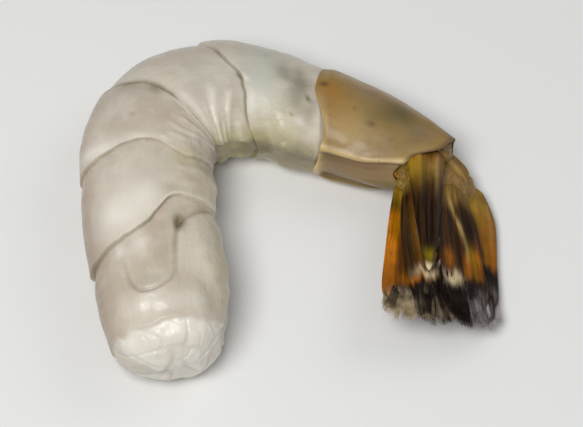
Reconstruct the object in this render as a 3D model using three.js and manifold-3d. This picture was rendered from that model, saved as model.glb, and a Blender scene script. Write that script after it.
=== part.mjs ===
// A raw tiger prawn without its head, peeled except for the tail, curled up and lying on its right side.
//
// Millimetres. +Z is up and z = 0 is the surface it lies on. +Y points to the hump of the back and +X to the
// tail.
// The body follows a spine that lies level: it starts at the cut head end and turns a little in each segment.
// A ring of the body is drawn by its angle round the spine: 0 is the back, 90 the left flank (up), 180 the
// belly and 270 the right flank (down, on the surface).

import * as THREE from "three";
import { mergeVertices } from "three/addons/utils/BufferGeometryUtils.js";
import Module from "manifold-3d";

const DEG = Math.PI / 180;

// ---------- Driving dimensions ----------

// The cut head end, and the way that the spine leaves it.
const HEAD_END = { x: -17.6, y: -35.6, heading: 99 };

// From the head end to the tail shell: each segment's length along the spine, the angle that the spine turns
// through in it (right-hand bends are negative), and its full depth, back to belly, and breadth across.
const SEGMENTS = [
  { length: 21.5, turn: -2, depth: 21.4, breadth: 17.6 },
  { length: 14.7, turn: -6, depth: 23, breadth: 18 },
  { length: 10, turn: -52, depth: 22.6, breadth: 17.4 },
  { length: 10, turn: -44, depth: 21.4, breadth: 16 },
  { length: 15.4, turn: -20, depth: 19, breadth: 15 },
];
const HEAD_SIZE = { depth: 17.6, breadth: 16 };
const MOUTH_SIZE = { depth: 18, breadth: 13.6 };

const SAG = 1.1; // how far the soft body presses flat where it lies
const CREASE = { depth: 0.9, width: 1.7, arch: 2.4 }; // between two segments, bowed towards the tail
const LOBE = { s: 14, angle: 152, length: 5, spread: 26, rise: 1.1 }; // swelling on each side of the belly
const HEAD_ROUNDING = 4; // length over which the cut end is rounded off

// The tail shell is the one segment left in its shell. Its back runs on past its belly, to a tip over the
// fan.
const SHELL = {
  backLength: 19.4,
  bellyLength: 12.6,
  flankBulge: 1.3, // how far the rear rim reaches beyond a straight slant on each flank
  turn: 13,
  mouthReach: 3.6, // how far the mouth's rim reaches forward over the back
  mouthSetback: 0.8, // how far it stands back at the belly
  rearBreadth: 9,
  rearHeight: 6.4, // of the spine over the surface
  tipRise: 2.4, // of the shell's tip, outwards from the spine
  sternite: 0.8, // how far the belly plate lies in between its side edges
  keel: 0.5,
  wall: 0.7,
  recess: 3, // depth of the rear opening
};
const PLUG = 5; // how far the flesh runs into the tail shell
const GAP = 0.3; // between neighbouring pieces

// The fan, in its own frame: +X runs from its hinge to its tips, +Y is the prawn's right and +Z its back.
// `twist` turns the right side down.
const FAN = { x: 20.6, y: 0.9, z: 7.8, heading: -83, droop: 1, twist: 20 };
// Each piece of it: its size, its root's place, how far its tip leads away from the middle (`splay`), how
// far it leans, with its outer edge down (`roll`), and how far its tip is raised (`pitch`). `side` and
// `splay` lead away from the middle. The prawn lies on its right side, so the right blades are pushed
// outwards and the left ones hang together. The outer blades lie close under the inner ones.
const FAN_PIECES = {
  telson: {
    length: 22.4, width: 6.4, thick: 2,
    rootX: -0.9, side: 0, rise: 1.3, splay: -9, roll: 0, pitch: 0,
  },
  uropod_base_left: {
    length: 5, width: 4.6, thick: 2,
    rootX: -1.1, side: 2.4, rise: -1, splay: 8, roll: 6, pitch: 0,
  },
  uropod_base_right: {
    length: 6.4, width: 6, thick: 2,
    rootX: -1.2, side: 3.2, rise: -1, splay: 38, roll: 4, pitch: 0,
  },
  endopod_left: {
    length: 25, width: 7.4, thick: 1.1,
    rootX: 4.3, side: 2.3, rise: -0.8, splay: -0.5, roll: 0, pitch: 0,
  },
  endopod_right: {
    length: 25.4, width: 7.8, thick: 1.1,
    rootX: 4.3, side: 3.9, rise: 0, splay: -2.6, roll: 6, pitch: 0,
  },
  exopod_left: {
    length: 26, width: 7.2, thick: 1.2,
    rootX: 3.2, side: 0.8, rise: -2.75, splay: 16.2, roll: 9, pitch: 2.2,
  },
  exopod_right: {
    length: 26.8, width: 9.6, thick: 1.2,
    rootX: 3.1, side: 8.1, rise: -2.1, splay: -8.3, roll: 3, pitch: 1.5,
  },
};

// ---------- Spine ----------

const ALL_SEGMENTS = [...SEGMENTS, { length: SHELL.backLength, turn: SHELL.turn }];
const FLESH_LENGTH = SEGMENTS.reduce((sum, segment) => sum + segment.length, 0);
const SPINE_LENGTH = FLESH_LENGTH + SHELL.backLength;
const SPINE_STEP = 0.25;

// The spine's heading `s` millimetres from the head end. It turns evenly within each segment.
function headingAt(s) {
  let start = 0;
  let heading = HEAD_END.heading;
  for (const { length, turn } of ALL_SEGMENTS) {
    heading += turn * THREE.MathUtils.clamp((s - start) / length, 0, 1);
    start += length;
  }
  return heading * DEG;
}

const spinePoints = [new THREE.Vector2(HEAD_END.x, HEAD_END.y)];
for (let s = 0; s < SPINE_LENGTH + 1; s += SPINE_STEP) {
  const last = spinePoints[spinePoints.length - 1];
  const heading = headingAt(s + SPINE_STEP / 2);
  const step = new THREE.Vector2(Math.cos(heading), Math.sin(heading)).multiplyScalar(SPINE_STEP);
  spinePoints.push(step.add(last));
}

// The spine's point `s` millimetres from the head end, and the direction of the back there.
function spineAt(s) {
  const heading = headingAt(s);
  const back = new THREE.Vector2(-Math.sin(heading), Math.cos(heading));
  const place = THREE.MathUtils.clamp(s / SPINE_STEP, 0, spinePoints.length - 1.001);
  const before = Math.floor(place);
  const point = spinePoints[before].clone().lerp(spinePoints[before + 1], place - before);
  return { point, back };
}

// Depth and breadth along the flesh, through each segment's own at its middle.
const SIZE_KNOTS = [{ s: 0, ...HEAD_SIZE }];
const CREASES = [];
{
  let start = 0;
  for (const { length, depth, breadth } of SEGMENTS) {
    if (start > 0) CREASES.push(start);
    SIZE_KNOTS.push({ s: start + length / 2, depth, breadth });
    start += length;
  }
  SIZE_KNOTS.push({ s: start, ...MOUTH_SIZE });
}

function sizeAt(s) {
  const at = THREE.MathUtils.clamp(s, 0, FLESH_LENGTH);
  const after = Math.max(1, SIZE_KNOTS.findIndex((knot) => knot.s >= at));
  const [a, b] = [SIZE_KNOTS[after - 1], SIZE_KNOTS[after]];
  const share = (THREE.MathUtils.smoothstep(at, a.s, b.s) + (at - a.s) / (b.s - a.s)) / 2;
  return {
    depth: THREE.MathUtils.lerp(a.depth, b.depth, share),
    breadth: THREE.MathUtils.lerp(a.breadth, b.breadth, share),
  };
}

// ---------- Meshes ----------

// A closed mesh through rings of equally many points, with a fan over each end.
function loft(rings) {
  const count = rings[0].length;
  const positions = rings.flat().flatMap((p) => [p.x, p.y, p.z]);
  const faces = [];
  for (let i = 0; i + 1 < rings.length; i++) {
    for (let j = 0; j < count; j++) {
      const [a, b] = [i * count + j, i * count + ((j + 1) % count)];
      faces.push(a, b, b + count, a, b + count, a + count);
    }
  }
  for (const last of [false, true]) {
    const ring = last ? rings.length - 1 : 0;
    const centre = rings[ring].reduce((sum, p) => sum.add(p), new THREE.Vector3()).divideScalar(count);
    const hub = positions.length / 3;
    positions.push(centre.x, centre.y, centre.z);
    for (let j = 0; j < count; j++) {
      const [a, b] = [ring * count + j, ring * count + ((j + 1) % count)];
      faces.push(...(last ? [hub, a, b] : [hub, b, a]));
    }
  }
  const geometry = new THREE.BufferGeometry();
  geometry.setAttribute("position", new THREE.Float32BufferAttribute(positions, 3));
  geometry.setIndex(faces);
  return geometry;
}

const wasm = await Module();
wasm.setup();

function toSolid(geometry) {
  const bare = geometry.clone().deleteAttribute("normal");
  const merged = mergeVertices(bare, 1e-4);
  const vertProperties = merged.attributes.position.array;
  const triVerts = new Uint32Array(merged.index.array);
  return new wasm.Manifold(new wasm.Mesh({ numProp: 3, vertProperties, triVerts }));
}

function toGeometry(solid) {
  const mesh = solid.getMesh();
  const geometry = new THREE.BufferGeometry();
  geometry.setAttribute("position", new THREE.BufferAttribute(new Float32Array(mesh.vertProperties), 3));
  geometry.setIndex(new THREE.BufferAttribute(new Uint32Array(mesh.triVerts), 1));
  return geometry;
}

function named(name, geometry, colour, roughness) {
  geometry.computeVertexNormals();
  const material = new THREE.MeshStandardMaterial({ color: colour, roughness, metalness: 0 });
  const mesh = new THREE.Mesh(geometry, material);
  mesh.name = name;
  return mesh;
}

// ---------- Flesh ----------

const RING_POINTS = 36;
const ANGLES = Array.from({ length: RING_POINTS }, (_, j) => (j / RING_POINTS) * 2 * Math.PI);
const bump = (x, width) => Math.exp(-((x / width) ** 2));

// How far the rim of the shell's mouth lies behind the end of the flesh segments, round the body.
function setbackAt(angle) {
  const backwards = THREE.MathUtils.smoothstep(Math.cos(angle), -0.9, 0.55);
  return THREE.MathUtils.lerp(SHELL.mouthSetback, -SHELL.mouthReach, backwards);
}

// How far the lobe beside the belly swells out, the same on both sides.
function lobeAt(s, angle) {
  const fromBack = Math.min(angle, 2 * Math.PI - angle) / DEG;
  return LOBE.rise * bump(s - LOBE.s, LOBE.length) * bump(fromBack - LOBE.angle, LOBE.spread);
}

// How much a ring's radius shrinks at a crease, which bows towards the tail on each flank.
function creaseAt(s, angle) {
  const bow = CREASE.arch * (Math.sin(angle) ** 2 - 0.5);
  return CREASES.reduce((sum, at) => sum + CREASE.depth * bump(s - at - bow, CREASE.width), 0);
}

// A point of the flesh. The belly is a little flat, with a furrow along its middle.
function fleshPoint(s, angle, scale) {
  const leaned = s + setbackAt(angle) * THREE.MathUtils.smoothstep(s, CREASES.at(-1), FLESH_LENGTH);
  const { point, back } = spineAt(leaned);
  const { depth, breadth } = sizeAt(s);
  const belly = 1 - 0.12 * bump(Math.cos(angle) + 1, 0.5) - 0.05 * bump(Math.cos(angle) + 1, 0.04);
  const shrink = creaseAt(s, angle) - lobeAt(s, angle);
  const outwards = ((depth / 2) * belly - shrink) * scale * Math.cos(angle);
  const upwards = (breadth / 2 - shrink) * scale * Math.sin(angle);
  const height = breadth / 2 - SAG;
  return new THREE.Vector3(
    point.x + back.x * outwards,
    point.y + back.y * outwards,
    Math.max(height + upwards, 0),
  );
}

const fleshRing = (s, scale = 1) => ANGLES.map((angle) => fleshPoint(s, angle, scale));

// From the rounded cut end to the shell's mouth.
function bodyRings() {
  const capSteps = 5;
  const bodySteps = 54;
  const cap = Array.from({ length: capSteps }, (_, i) => {
    const turn = ((i + 0.5) / capSteps) * (Math.PI / 2);
    return fleshRing(HEAD_ROUNDING * (1 - Math.cos(turn)), Math.sin(turn) ** 0.7);
  });
  const body = Array.from({ length: bodySteps + 1 }, (_, i) =>
    fleshRing(THREE.MathUtils.lerp(HEAD_ROUNDING, FLESH_LENGTH - GAP, i / bodySteps)),
  );
  return [...cap, ...body];
}

// ---------- Tail shell ----------

// A point of the shell, `inset` inside its surface: `share` runs from its mouth to its slanted rear rim.
function shellPoint(share, angle, inset) {
  const backwards = (Math.cos(angle) + 1) / 2;
  const slant = THREE.MathUtils.lerp(SHELL.bellyLength, SHELL.backLength, backwards);
  const length = slant + SHELL.flankBulge * Math.sin(angle) ** 2 * 2 * backwards;
  const setback = setbackAt(angle);
  const { point, back } = spineAt(FLESH_LENGTH + setback + (length - setback) * share);
  const taper = Math.max(0, share);
  const backRise = THREE.MathUtils.lerp(MOUTH_SIZE.depth / 2, SHELL.tipRise, taper ** 2.6);
  const bellyDrop = (MOUTH_SIZE.depth / 2) * (1 + 0.04 * taper);
  const breadth = THREE.MathUtils.lerp(MOUTH_SIZE.breadth, SHELL.rearBreadth, taper ** 1.5);
  const flattened = 1 - 0.12 * bump(Math.cos(angle) + 1, 0.5);
  const plate = SHELL.sternite * bump(Math.cos(angle) + 1, 0.12);
  const keel = SHELL.keel * taper * bump(Math.sin(angle), 0.2);
  const half = Math.cos(angle) > 0 ? backRise + keel : bellyDrop * flattened - plate;
  const height = THREE.MathUtils.lerp(MOUTH_SIZE.breadth / 2 - SAG, SHELL.rearHeight, share);
  const outwards = (half - inset) * Math.cos(angle);
  const upwards = (breadth / 2 - inset) * Math.sin(angle);
  return new THREE.Vector3(
    point.x + back.x * outwards,
    point.y + back.y * outwards,
    Math.max(height + upwards, inset),
  );
}

const shellRing = (share, inset) => ANGLES.map((angle) => shellPoint(share, angle, inset));

// The shell from its mouth to its rim, then into the shallow opening behind it.
function shellBody() {
  const steps = 16;
  const outside = Array.from({ length: steps + 1 }, (_, i) => shellRing(i / steps, 0));
  const floor = 1 - SHELL.recess / SHELL.bellyLength;
  return loft([...outside, shellRing(1, SHELL.wall), shellRing(floor, SHELL.wall)]);
}

// What fills the shell's front: the end of the flesh, or with no `gap`, the socket that takes it.
function plug(gap) {
  const inset = SHELL.wall + gap;
  const start = (gap - 1) / SHELL.bellyLength;
  const end = (PLUG - gap) / SHELL.bellyLength;
  return loft([start, 0, end].map((share) => shellRing(share, inset)));
}

// ---------- Fan ----------

// How wide a blade is at `t` of its length, as a share of its half width. It swells up to `peak`, then rounds
// off, the more bluntly the larger `point` is.
function edgeAt(t, root, peak, point) {
  const swell = root + (1 - root) * Math.sin((Math.PI / 2) * Math.min(1, t / peak));
  return swell * (1 - Math.max(0, (t - peak) / (1 - peak)) ** point) ** 0.6;
}

const BLADE_EDGES = {
  telson: { outer: [1, 0.05, 1.1], inner: [1, 0.05, 1.1] },
  uropod_base: { outer: [0.7, 0.5, 3], inner: [0.7, 0.5, 3] },
  endopod: { outer: [0.4, 0.5, 7], inner: [0.4, 0.5, 6] },
  exopod_left: { outer: [0.85, 0.5, 8], inner: [0.3, 0.6, 5] },
  exopod_right: { outer: [0.48, 0.3, 8], inner: [0.3, 0.6, 5] },
};

const FAN_COLOURS = { telson: 0x51391b, uropod_base: 0x6a522e, endopod: 0x352514, exopod: 0x513b19 };

// A plate with a lens-shaped section and a low ridge down the middle of its upper face, `room` larger all
// round. `hand` is 1 on the prawn's right and -1 on its left.
function blade({ length, width, thick }, edges, hand, room) {
  const steps = 14;
  const sectionPoints = 14;
  const rings = [];
  for (let i = 0; i <= steps; i++) {
    const t = THREE.MathUtils.clamp(i / steps, 0.004, 0.985);
    const thickness = thick * (1 - 0.55 * t) * (t < 0.01 ? 0.7 : 1) + 2 * room;
    const ring = [];
    for (let j = 0; j < sectionPoints; j++) {
      const turn = (j / sectionPoints) * 2 * Math.PI;
      const across = Math.cos(turn);
      const half = (width / 2) * edgeAt(t, ...(across > 0 ? edges.outer : edges.inner)) + room;
      const ridge = Math.sin(turn) > 0 ? 0.35 * thickness * bump(across, 0.2) : 0;
      const z = (thickness / 2) * Math.sin(turn) + ridge;
      const y = across * half;
      const x = (i === steps ? 1 : t) * (length + 2 * room) - room;
      ring.push(new THREE.Vector3(x, hand * y, z));
    }
    rings.push(hand > 0 ? ring : ring.reverse());
  }
  return loft(rings);
}

// A piece of the fan where it belongs.
function placed(name, room) {
  const spec = FAN_PIECES[name];
  const hand = name.endsWith("left") ? -1 : 1;
  const kind = name.replace(/_(left|right)$/, "");
  const edges = BLADE_EDGES[name] ?? BLADE_EDGES[kind];
  const mesh = named(name, blade(spec, edges, hand, room), FAN_COLOURS[kind], 0.4);
  mesh.position.set(spec.rootX, hand * spec.side, spec.rise);
  mesh.rotation.set(-hand * spec.roll * DEG, -spec.pitch * DEG, hand * spec.splay * DEG, "ZYX");
  return mesh;
}

// The whole fan, or with some `room`, the space that its pieces need.
function tailFan(room) {
  const fan = new THREE.Group();
  fan.position.set(FAN.x, FAN.y, FAN.z);
  fan.rotation.set(-FAN.twist * DEG, FAN.droop * DEG, FAN.heading * DEG, "ZYX");
  fan.add(...Object.keys(FAN_PIECES).map((name) => placed(name, room)));
  fan.updateMatrixWorld(true);
  return fan;
}

// ---------- Assembly ----------

const prawn = new THREE.Group();
const flesh = toSolid(loft(bodyRings())).add(toSolid(plug(GAP)));
const fan = tailFan(0);
const shell = tailFan(GAP).children.reduce(
  (solid, room) => solid.subtract(toSolid(room.geometry.clone().applyMatrix4(room.matrixWorld))),
  toSolid(shellBody()).subtract(toSolid(plug(0))),
);
prawn.add(named("flesh", toGeometry(flesh), 0xc3b8a8, 0.4));
prawn.add(named("tail_shell", toGeometry(shell), 0x9a7c50, 0.3));
prawn.add(fan);

// The origin is under the middle of the whole.
prawn.updateMatrixWorld(true);
const middle = new THREE.Box3().setFromObject(prawn, true).getCenter(new THREE.Vector3());
prawn.position.set(-middle.x, -middle.y, 0);

export default prawn;
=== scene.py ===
"""A raw tiger prawn without its head, peeled but for the tail, lying curled up on its right side.

The body follows a spine that lies level. A place on it is given by `s`, the millimetres along the spine from
the cut head end, and by an angle round the spine: 0 is the back, 90 the left flank (up), 180 the belly and
270 the right flank, which it lies on. Sizes are in millimetres, and a mesh gets its vertices in metres.
"""

import math

import bpy
import numpy as np
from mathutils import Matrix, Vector, noise


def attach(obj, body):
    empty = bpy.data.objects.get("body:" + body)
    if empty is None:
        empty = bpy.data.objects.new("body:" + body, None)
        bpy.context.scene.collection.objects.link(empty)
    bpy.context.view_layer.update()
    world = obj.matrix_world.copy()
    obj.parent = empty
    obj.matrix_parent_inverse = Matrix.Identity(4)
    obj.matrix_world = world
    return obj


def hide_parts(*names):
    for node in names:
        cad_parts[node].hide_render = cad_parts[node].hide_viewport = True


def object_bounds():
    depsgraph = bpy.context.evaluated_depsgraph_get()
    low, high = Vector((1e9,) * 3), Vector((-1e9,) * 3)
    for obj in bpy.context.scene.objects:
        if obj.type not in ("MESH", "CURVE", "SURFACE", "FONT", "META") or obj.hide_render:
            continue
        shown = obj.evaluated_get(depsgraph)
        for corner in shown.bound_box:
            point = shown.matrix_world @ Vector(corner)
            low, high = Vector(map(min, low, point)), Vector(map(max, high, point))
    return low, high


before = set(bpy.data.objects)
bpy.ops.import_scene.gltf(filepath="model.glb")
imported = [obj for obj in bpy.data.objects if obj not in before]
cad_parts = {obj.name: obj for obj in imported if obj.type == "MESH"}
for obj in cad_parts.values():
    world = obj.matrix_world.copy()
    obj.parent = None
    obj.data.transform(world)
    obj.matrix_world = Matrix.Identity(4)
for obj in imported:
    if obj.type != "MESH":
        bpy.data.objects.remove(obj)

cad_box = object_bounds()

MM = 0.001
DEG = math.pi / 180

# ---------- Driving dimensions ----------

SHIFT = (0.355, 6.943)  # puts the middle of the whole over the origin
HEAD_END = (-17.6 + SHIFT[0], -35.6 + SHIFT[1])  # the middle of the cut end
HEAD_HEADING = 99  # the spine's heading there, in degrees from +X
# Each segment's length along the spine, the turn in it, and its full depth (back to belly) and breadth.
SEGMENTS = [
    (21.5, -2, 21.4, 17.6),
    (14.7, -6, 23.0, 18.0),
    (10.0, -52, 22.6, 17.4),
    (10.0, -44, 21.4, 16.0),
    (15.4, -20, 19.0, 15.0),
]
LENGTHS, TURNS, DEPTHS, BREADTHS = zip(*SEGMENTS)
FLESH_LENGTH = sum(LENGTHS)
HEAD_SIZE = (17.6, 16.0)  # depth and breadth at the cut end
MOUTH_SIZE = (18.0, 13.6)  # and at the shell's mouth
PLUG_LENGTH = 4.6  # how far the flesh reaches into the shell
SAG = 1.1  # how far the soft body presses flat where it lies
SKIN_ROOM = 0.3  # the flesh is made this much slimmer, and its folds and lumps take the room up
BOX_ROOM = 0.01  # how far everything stays inside the CAD's box

SHELL_BACK = 19.4  # the shell's length at the back
SHELL_BELLY = 12.6
SHELL_FLANK = 1.3  # how much further its rear rim reaches on the flanks
SHELL_TURN = 13  # the spine's turn in it
MOUTH_REACH = 3.6  # how far the shell's mouth reaches forward over the back
MOUTH_SETBACK = 0.8  # how far it stands back at the belly
REAR_BREADTH = 9.0
REAR_HEIGHT = 6.4  # of the rear rim's middle above the floor
TIP_RISE = 2.4  # from the spine to the rear rim's back edge
SHELL_WALL = 0.35
SHELL_LIFT = 0.12  # how far it stands out beyond its plain shape

FAN_HINGE = (20.6 + SHIFT[0], 0.9 + SHIFT[1], 7.8)  # where the fan's own frame starts
FAN_HEADING = -83  # in degrees, as are the next two
FAN_DROOP = 1  # how far it tips down
FAN_TWIST = 20  # how far it is rolled about its length

# ---------- Fineness of the meshes, in rows and columns of faces ----------

DOME_ROWS, BODY_ROWS, PLUG_ROWS, FLESH_COLUMNS = 36, 292, 11, 290
OUTER_ROWS, RIM_ROWS, INNER_ROWS, SHELL_COLUMNS = 110, 5, 36, 180
BLADE_MESH = (96, 120)
BASE_MESH = (40, 60)
TISSUE_MESH = (60, 90)
BRISTLE_SIDES, BRISTLE_STEPS = 3, 4

# ---------- Small helpers ----------


def bump(x, width):
    return np.exp(-((x / width) ** 2))


def ease(x, low, high):
    """A soft step from 0 at `low` to 1 at `high`. It falls where `low` is the greater."""
    t = np.clip((x - low) / (high - low), 0, 1)
    return t * t * (3 - 2 * t)


def between(x, start, full, last, end):
    """1 from `full` to `last`, and 0 before `start` and after `end`."""
    return ease(x, start, full) * ease(x, end, last)


def lerp(a, b, t):
    return a + (b - a) * t


def patches(x, y, *rows):
    """Round soft patches, added up. Each row has a strength, the middle's x and y, and the reach in both."""
    return sum(
        strength * np.exp(-(((x - at_x) / reach_x) ** 2) - ((y - at_y) / reach_y) ** 2)
        for strength, at_x, at_y, reach_x, reach_y in rows)


def rumple(points, size, seed):
    """Smooth lumps of about `size` millimetres, from -1 to 1, at each of the points."""
    start = Vector((seed * 7.31, seed * 3.17, seed * 5.77))
    flat = np.asarray(points).reshape(-1, 3) / size
    values = [noise.noise(Vector(p) + start) for p in flat]
    return np.array(values).reshape(np.asarray(points).shape[:-1])


# ---------- The spine ----------

HEADING_AT = np.cumsum((0, *LENGTHS, SHELL_BACK))
HEADINGS = np.cumsum((HEAD_HEADING, *TURNS, SHELL_TURN))
SPINE_STEP = 0.25
SPINE_S = np.arange(0, HEADING_AT[-1] + 2, SPINE_STEP)


def heading_at(s):
    return np.interp(s, HEADING_AT, HEADINGS) * DEG


STEP_HEADINGS = heading_at(SPINE_S[:-1] + SPINE_STEP / 2)
SPINE_X = HEAD_END[0] + np.concatenate([[0], np.cumsum(np.cos(STEP_HEADINGS))]) * SPINE_STEP
SPINE_Y = HEAD_END[1] + np.concatenate([[0], np.cumsum(np.sin(STEP_HEADINGS))]) * SPINE_STEP

# Depth and breadth at the cut end, at each segment's middle and at the shell's mouth.
SIZE_AT = np.concatenate([[0], np.cumsum(LENGTHS) - np.array(LENGTHS) / 2, [FLESH_LENGTH]])
SIZES = np.array([HEAD_SIZE, *zip(DEPTHS, BREADTHS), MOUTH_SIZE])


def size_at(s):
    """Depth and breadth of the flesh, through each segment's own at its middle."""
    s = np.clip(s, 0, FLESH_LENGTH)
    after = np.clip(np.searchsorted(SIZE_AT, s), 1, len(SIZE_AT) - 1)
    t = (s - SIZE_AT[after - 1]) / (SIZE_AT[after] - SIZE_AT[after - 1])
    share = (ease(t, 0, 1) + t) / 2
    return [lerp(sizes[after - 1], sizes[after], share) for sizes in SIZES.T]


def about_spine(s, outwards, z):
    """The point that lies `outwards` to the back's side of the spine at `s`, at height z."""
    heading = heading_at(s)
    x = np.interp(s, SPINE_S, SPINE_X) - np.sin(heading) * outwards
    y = np.interp(s, SPINE_S, SPINE_Y) + np.cos(heading) * outwards
    return np.stack([x, y, z], axis=-1)


def setback_at(angle):
    """How far the rim of the shell's mouth lies behind the end of the flesh segments, round the body."""
    return lerp(MOUTH_SETBACK, -MOUTH_REACH, ease(np.cos(angle), -0.9, 0.55))


# ---------- Meshes ----------


def inside_box(points):
    """The points, kept within the CAD's outer box."""
    low, high = (np.array(corner) / MM for corner in cad_box)
    return np.clip(points, low + BOX_ROOM, high - BOX_ROOM)


def sheet_of(name, rows, columns):
    """A flat square with that many faces each way, and each vertex's place on it, from 0 to 1."""
    bpy.ops.object.select_all(action="DESELECT")
    bpy.ops.mesh.primitive_grid_add(x_subdivisions=columns, y_subdivisions=rows, size=1)
    piece = bpy.context.active_object
    piece.name = name
    piece.data.name = name
    flat = np.zeros(len(piece.data.vertices) * 3)
    piece.data.vertices.foreach_get("co", flat)
    flat = flat.reshape(rows + 1, columns + 1, 3)
    return piece, flat[..., 1] + 0.5, flat[..., 0] + 0.5


def set_marks(mesh, marks):
    """Keeps each colour mark, 0 to 1 at each vertex, as an attribute of the mesh."""
    for mark, values in marks.items():
        layer = mesh.attributes.new(mark, "FLOAT", "POINT")
        layer.data.foreach_set("value", np.clip(values, 0, 1).astype(np.float32).ravel())


def close_up(piece, merged=True):
    """Joins the vertices that meet, if asked to, turns all faces outwards and smooths the shading."""
    bpy.ops.object.select_all(action="DESELECT")
    piece.select_set(True)
    bpy.context.view_layer.objects.active = piece
    bpy.ops.object.mode_set(mode="EDIT")
    bpy.ops.mesh.select_all(action="SELECT")
    if merged:
        bpy.ops.mesh.remove_doubles(threshold=1e-6)
    bpy.ops.mesh.normals_make_consistent(inside=False)
    bpy.ops.object.mode_set(mode="OBJECT")
    bpy.ops.object.shade_smooth()


def wrap(piece, points, marks, lanes=None):
    """Puts the square's vertices at these points, in millimetres, and closes its seam and its ends. With
    `lanes`, its own UV runs across by those in place of by its columns."""
    mesh = piece.data
    mesh.vertices.foreach_set("co", (points * MM).ravel())
    if lanes is not None:
        corners = np.zeros(len(mesh.loops), int)
        mesh.loops.foreach_get("vertex_index", corners)
        laid = np.zeros(len(mesh.loops) * 2)
        mesh.uv_layers.active.data.foreach_get("uv", laid)
        laid[0::2] = lanes.ravel()[corners]
        mesh.uv_layers.active.data.foreach_set("uv", laid)
    set_marks(mesh, marks)
    mesh.update()
    close_up(piece)


def dress(piece, material, slot, *nodes):
    piece.data.materials.clear()
    piece.data.materials.append(material)
    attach(piece, "root")
    if nodes:
        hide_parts(*nodes)


# ---------- Materials ----------


def colour(red, green, blue):
    """A paint's colour as it looks, 0 to 255 each, made linear."""
    parts = [c / 255 for c in (red, green, blue)]
    return [c / 12.92 if c <= 0.04045 else ((c + 0.055) / 1.055) ** 2.4 for c in parts] + [1]


class Nodes:
    """Adds nodes to a tree and joins them up. A value given as a socket is linked, any other is set."""

    def __init__(self, tree):
        self.tree = tree

    def add(self, kind, inputs=None, **settings):
        node = self.tree.nodes.new(kind)
        for key, value in settings.items():
            setattr(node, key, value)
        for key, value in (inputs or {}).items():
            self.give(node.inputs[key], value)
        return node

    def give(self, socket, value):
        if isinstance(value, bpy.types.NodeSocket):
            self.tree.links.new(value, socket)
        else:
            socket.default_value = value

    def attribute(self, name):
        return self.add("ShaderNodeAttribute", attribute_name=name).outputs["Fac"]

    def times(self, a, b, plus=0.0):
        return self.add("ShaderNodeMath", {0: a, 1: b, 2: plus}, operation="MULTIPLY_ADD").outputs[0]

    def mix(self, amount, a, b):
        """From colour a to colour b. A colour is a socket or its red, green and blue."""
        paints = [paint if isinstance(paint, bpy.types.NodeSocket) else colour(*paint) for paint in (a, b)]
        return self.add("ShaderNodeMix", {0: amount, 6: paints[0], 7: paints[1]}, data_type="RGBA").outputs[2]

    def spread(self, value, low, high, to_low=0.0, to_high=1.0):
        """A soft step from one value at `low` to another at `high`."""
        ends = {"From Min": low, "From Max": high, "To Min": to_low, "To Max": to_high, "Value": value}
        return self.add("ShaderNodeMapRange", ends, interpolation_type="SMOOTHSTEP").outputs["Result"]

    def group(self, tree, **inputs):
        return self.add("ShaderNodeGroup", inputs, node_tree=tree).outputs[0]


def new_group(name, **inputs):
    """A node group with those inputs, at their defaults, and a mask as its output. Returns it, its nodes, the
    values that it is given and its mask's socket."""
    tree = bpy.data.node_groups.new(name, "ShaderNodeTree")
    for key, default in inputs.items():
        socket = tree.interface.new_socket(key, in_out="INPUT", socket_type="NodeSocketFloat")
        socket.default_value = default
    tree.interface.new_socket("Mask", in_out="OUTPUT", socket_type="NodeSocketFloat")
    nodes = Nodes(tree)
    return tree, nodes, nodes.add("NodeGroupInput").outputs, nodes.add("NodeGroupOutput").inputs["Mask"]


def mottle_group():
    """Soft cloudy patches on a piece, at a size in patches to the metre."""
    tree, nodes, given, mask = new_group("mottle", Scale=300, Low=0.4, High=0.6)
    place = nodes.add("ShaderNodeTexCoord").outputs["Object"]
    cloud = nodes.add(
        "ShaderNodeTexNoise", {"Vector": place, "Scale": given["Scale"], "Detail": 3.0, "Roughness": 0.55})
    nodes.give(mask, nodes.spread(cloud.outputs[0], given["Low"], given["High"]))
    return tree


def crinkle_group():
    """Fine wrinkles in soft skin: 1 on the wrinkles and 0 between them."""
    tree, nodes, given, mask = new_group("crinkle", Scale=300, Width=0.05)
    place = nodes.add("ShaderNodeTexCoord").outputs["Object"]
    cloud = nodes.add("ShaderNodeTexNoise", {
        "Vector": place, "Scale": given["Scale"], "Detail": 2.0, "Roughness": 0.5, "Distortion": 0.6})
    off_middle = nodes.times(cloud.outputs[0], 1.0, -0.5)
    away = nodes.add("ShaderNodeMath", {0: off_middle}, operation="ABSOLUTE").outputs[0]
    nodes.give(mask, nodes.spread(away, 0.0, given["Width"], 1.0, 0.0))
    return tree


def grain_group():
    """Streaks that run along a piece's own length: muscle fibres, or the fine ribs of a blade."""
    tree, nodes, given, mask = new_group("grain", Along=4, Across=60, Low=0.4, High=0.6)
    place = nodes.add("ShaderNodeTexCoord").outputs["UV"]
    parts = nodes.add("ShaderNodeSeparateXYZ", {"Vector": place}).outputs
    joined = nodes.add("ShaderNodeCombineXYZ", {
        "X": nodes.times(parts["X"], given["Across"]), "Y": nodes.times(parts["Y"], given["Along"])})
    streaks = nodes.add("ShaderNodeTexNoise", {"Vector": joined.outputs[0], "Scale": 1.0, "Detail": 2.5})
    nodes.give(mask, nodes.spread(streaks.outputs[0], given["Low"], given["High"]))
    return tree


FLESH_IOR, WATER_IOR = 1.4, 1.33
MOTTLE = mottle_group()
GRAIN = grain_group()
CRINKLE = crinkle_group()


def new_material(name):
    material = bpy.data.materials.new(name)
    material.use_nodes = True
    material.node_tree.nodes.clear()
    nodes = Nodes(material.node_tree)
    surface = nodes.add("ShaderNodeBsdfPrincipled")
    output = nodes.add("ShaderNodeOutputMaterial")
    nodes.give(output.inputs["Surface"], surface.outputs[0])
    return material, nodes, surface


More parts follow.
